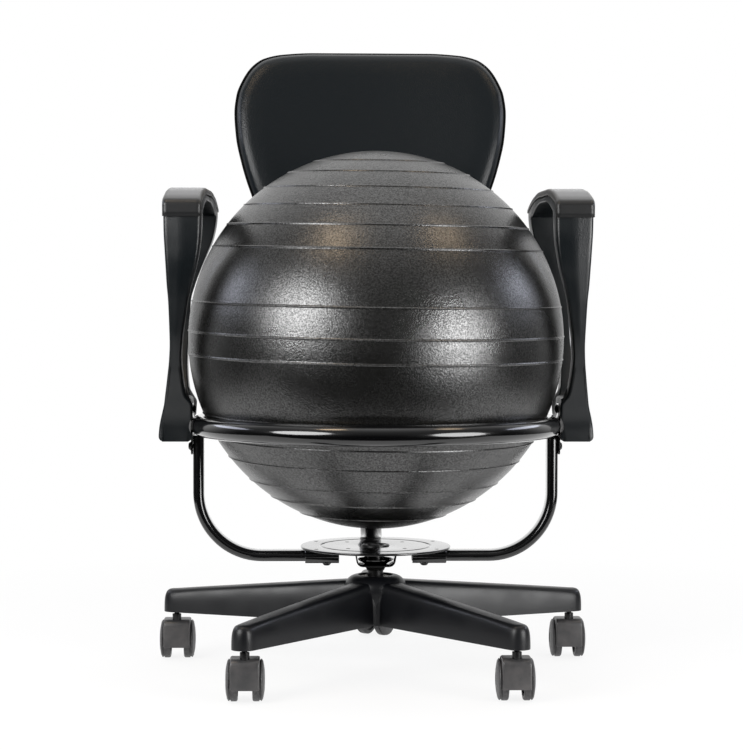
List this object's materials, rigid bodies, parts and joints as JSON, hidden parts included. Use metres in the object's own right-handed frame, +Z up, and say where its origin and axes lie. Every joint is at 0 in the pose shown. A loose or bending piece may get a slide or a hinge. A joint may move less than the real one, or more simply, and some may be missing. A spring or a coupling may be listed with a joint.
{
  "type": "balance ball chair",
  "caption": "Balance ball chair: an inflated exercise ball carried on a steel ring, with loop armrests, a padded height-adjustable back and a swivelling star base on twin-wheel casters.",
  "frame": {"origin": "middle of the overall length and width, on the floor", "axes": "+Z up; the sitter faces -Y; +X is to the right when looking along +Y"},
  "size_m": [0.6156, 0.646, 0.8979],
  "materials": {
    "gloss_frame": "gloss black powder coat",
    "black_hardware": "black oxide and satin paint",
    "zinc_hardware": "zinc plated",
    "acetal": "natural white",
    "base_nylon": "satin moulded black",
    "caster_nylon": "satin moulded dark grey",
    "arm_plastic": "satin moulded black",
    "arm_pad": "fine grained black",
    "ball_vinyl": "charcoal with a fine sparkle grain",
    "ball_plug_vinyl": "charcoal, smooth",
    "shell_plastic": "semi-gloss moulded black",
    "leatherette": "black with a fine pebble grain"
  },
  "bodies": {
    "base": {"star_base": "base_nylon", "column_tube": "black_hardware", "guide_bush": "acetal", "thrust_bearing": "zinc_hardware", "caster_1_stem": "black_hardware", "caster_2_stem": "black_hardware", "caster_3_stem": "black_hardware", "caster_4_stem": "black_hardware", "caster_5_stem": "black_hardware"},
    "caster_1": {"caster_1_hood": "caster_nylon", "caster_1_axle": "zinc_hardware"},
    "wheel_1_left": {"caster_1_wheel_left": "caster_nylon"},
    "wheel_1_right": {"caster_1_wheel_right": "caster_nylon"},
    "caster_2": {"caster_2_hood": "caster_nylon", "caster_2_axle": "zinc_hardware"},
    "wheel_2_left": {"caster_2_wheel_left": "caster_nylon"},
    "wheel_2_right": {"caster_2_wheel_right": "caster_nylon"},
    "caster_3": {"caster_3_hood": "caster_nylon", "caster_3_axle": "zinc_hardware"},
    "wheel_3_left": {"caster_3_wheel_left": "caster_nylon"},
    "wheel_3_right": {"caster_3_wheel_right": "caster_nylon"},
    "caster_4": {"caster_4_hood": "caster_nylon", "caster_4_axle": "zinc_hardware"},
    "wheel_4_left": {"caster_4_wheel_left": "caster_nylon"},
    "wheel_4_right": {"caster_4_wheel_right": "caster_nylon"},
    "caster_5": {"caster_5_hood": "caster_nylon", "caster_5_axle": "zinc_hardware"},
    "wheel_5_left": {"caster_5_wheel_left": "caster_nylon"},
    "wheel_5_right": {"caster_5_wheel_right": "caster_nylon"},
    "seat": {"spindle": "black_hardware", "retaining_clip": "zinc_hardware", "taper_collar": "black_hardware", "centre_ring": "black_hardware", "saddle_bracket": "black_hardware", "seat_plate": "gloss_frame", "tube_socket_right": "gloss_frame", "tube_socket_rear": "gloss_frame", "tube_socket_left": "gloss_frame", "socket_bolt_right": "black_hardware", "socket_bolt_rear": "black_hardware", "socket_bolt_left": "black_hardware", "side_tube_left": "gloss_frame", "side_tube_right": "gloss_frame", "rear_tube": "gloss_frame", "ball_ring": "gloss_frame", "ring_bolt_left": "black_hardware", "ring_bolt_right": "black_hardware", "ring_bolt_rear": "black_hardware", "armrest_left": "arm_plastic", "armrest_pad_left": "arm_pad", "armrest_bolt_left": "black_hardware", "armrest_right": "arm_plastic", "armrest_pad_right": "arm_pad", "armrest_bolt_right": "black_hardware", "exercise_ball": "ball_vinyl"},
    "plug": {"ball_plug": "ball_plug_vinyl"},
    "back": {"back_bracket": "black_hardware", "back_shell": "shell_plastic", "back_pad": "leatherette"},
    "knob": {"back_knob": "arm_plastic"}
  },
  "joints": [
    {"name": "caster_1_swivel", "type": "hinge", "parent": "base", "child": "caster_1", "pos_m": [0.17457, -0.30333, 0.058], "axis": [0, 0, 1], "continuous": true},
    {"name": "wheel_1_left_roll", "type": "hinge", "parent": "caster_1", "child": "wheel_1_left", "pos_m": [0.17457, -0.28333, 0.0275], "axis": [1, 0, 0], "continuous": true},
    {"name": "wheel_1_right_roll", "type": "hinge", "parent": "caster_1", "child": "wheel_1_right", "pos_m": [0.17457, -0.28333, 0.0275], "axis": [1, 0, 0], "continuous": true},
    {"name": "caster_2_swivel", "type": "hinge", "parent": "base", "child": "caster_2", "pos_m": [0.28246, 0.02873, 0.058], "axis": [0, 0, 1], "continuous": true},
    {"name": "wheel_2_left_roll", "type": "hinge", "parent": "caster_2", "child": "wheel_2_left", "pos_m": [0.28246, 0.04873, 0.0275], "axis": [1, 0, 0], "continuous": true},
    {"name": "wheel_2_right_roll", "type": "hinge", "parent": "caster_2", "child": "wheel_2_right", "pos_m": [0.28246, 0.04873, 0.0275], "axis": [1, 0, 0], "continuous": true},
    {"name": "caster_3_swivel", "type": "hinge", "parent": "base", "child": "caster_3", "pos_m": [0, 0.23395, 0.058], "axis": [0, 0, 1], "continuous": true},
    {"name": "wheel_3_left_roll", "type": "hinge", "parent": "caster_3", "child": "wheel_3_left", "pos_m": [0.01, 0.25127, 0.0275], "axis": [0.866, -0.5, 0], "continuous": true},
    {"name": "wheel_3_right_roll", "type": "hinge", "parent": "caster_3", "child": "wheel_3_right", "pos_m": [0.01, 0.25127, 0.0275], "axis": [0.866, -0.5, 0], "continuous": true},
    {"name": "caster_4_swivel", "type": "hinge", "parent": "base", "child": "caster_4", "pos_m": [-0.28246, 0.02873, 0.058], "axis": [0, 0, 1], "continuous": true},
    {"name": "wheel_4_left_roll", "type": "hinge", "parent": "caster_4", "child": "wheel_4_left", "pos_m": [-0.28246, 0.04873, 0.0275], "axis": [1, 0, 0], "continuous": true},
    {"name": "wheel_4_right_roll", "type": "hinge", "parent": "caster_4", "child": "wheel_4_right", "pos_m": [-0.28246, 0.04873, 0.0275], "axis": [1, 0, 0], "continuous": true},
    {"name": "caster_5_swivel", "type": "hinge", "parent": "base", "child": "caster_5", "pos_m": [-0.17457, -0.30333, 0.058], "axis": [0, 0, 1], "continuous": true},
    {"name": "wheel_5_left_roll", "type": "hinge", "parent": "caster_5", "child": "wheel_5_left", "pos_m": [-0.17457, -0.28333, 0.0275], "axis": [1, 0, 0], "continuous": true},
    {"name": "wheel_5_right_roll", "type": "hinge", "parent": "caster_5", "child": "wheel_5_right", "pos_m": [-0.17457, -0.28333, 0.0275], "axis": [1, 0, 0], "continuous": true},
    {"name": "seat_swivel", "type": "hinge", "parent": "base", "child": "seat", "pos_m": [0, -0.06305, 0.1317], "axis": [0, 0, 1], "continuous": true},
    {"name": "plug_pull", "type": "slide", "parent": "seat", "child": "plug", "axis": [0.4755, 0.8236, 0.309], "range_m": [0, 0.025]},
    {"name": "back_height", "type": "slide", "parent": "seat", "child": "back", "axis": [0, 0.0872, 0.9962], "range_m": [-0.025, 0.03]},
    {"name": "back_knob_turn", "type": "hinge", "parent": "back", "child": "knob", "pos_m": [0, 0.28439, 0.72566], "axis": [0, 0.9962, -0.0872], "range_deg": [0, 720]}
  ]
}
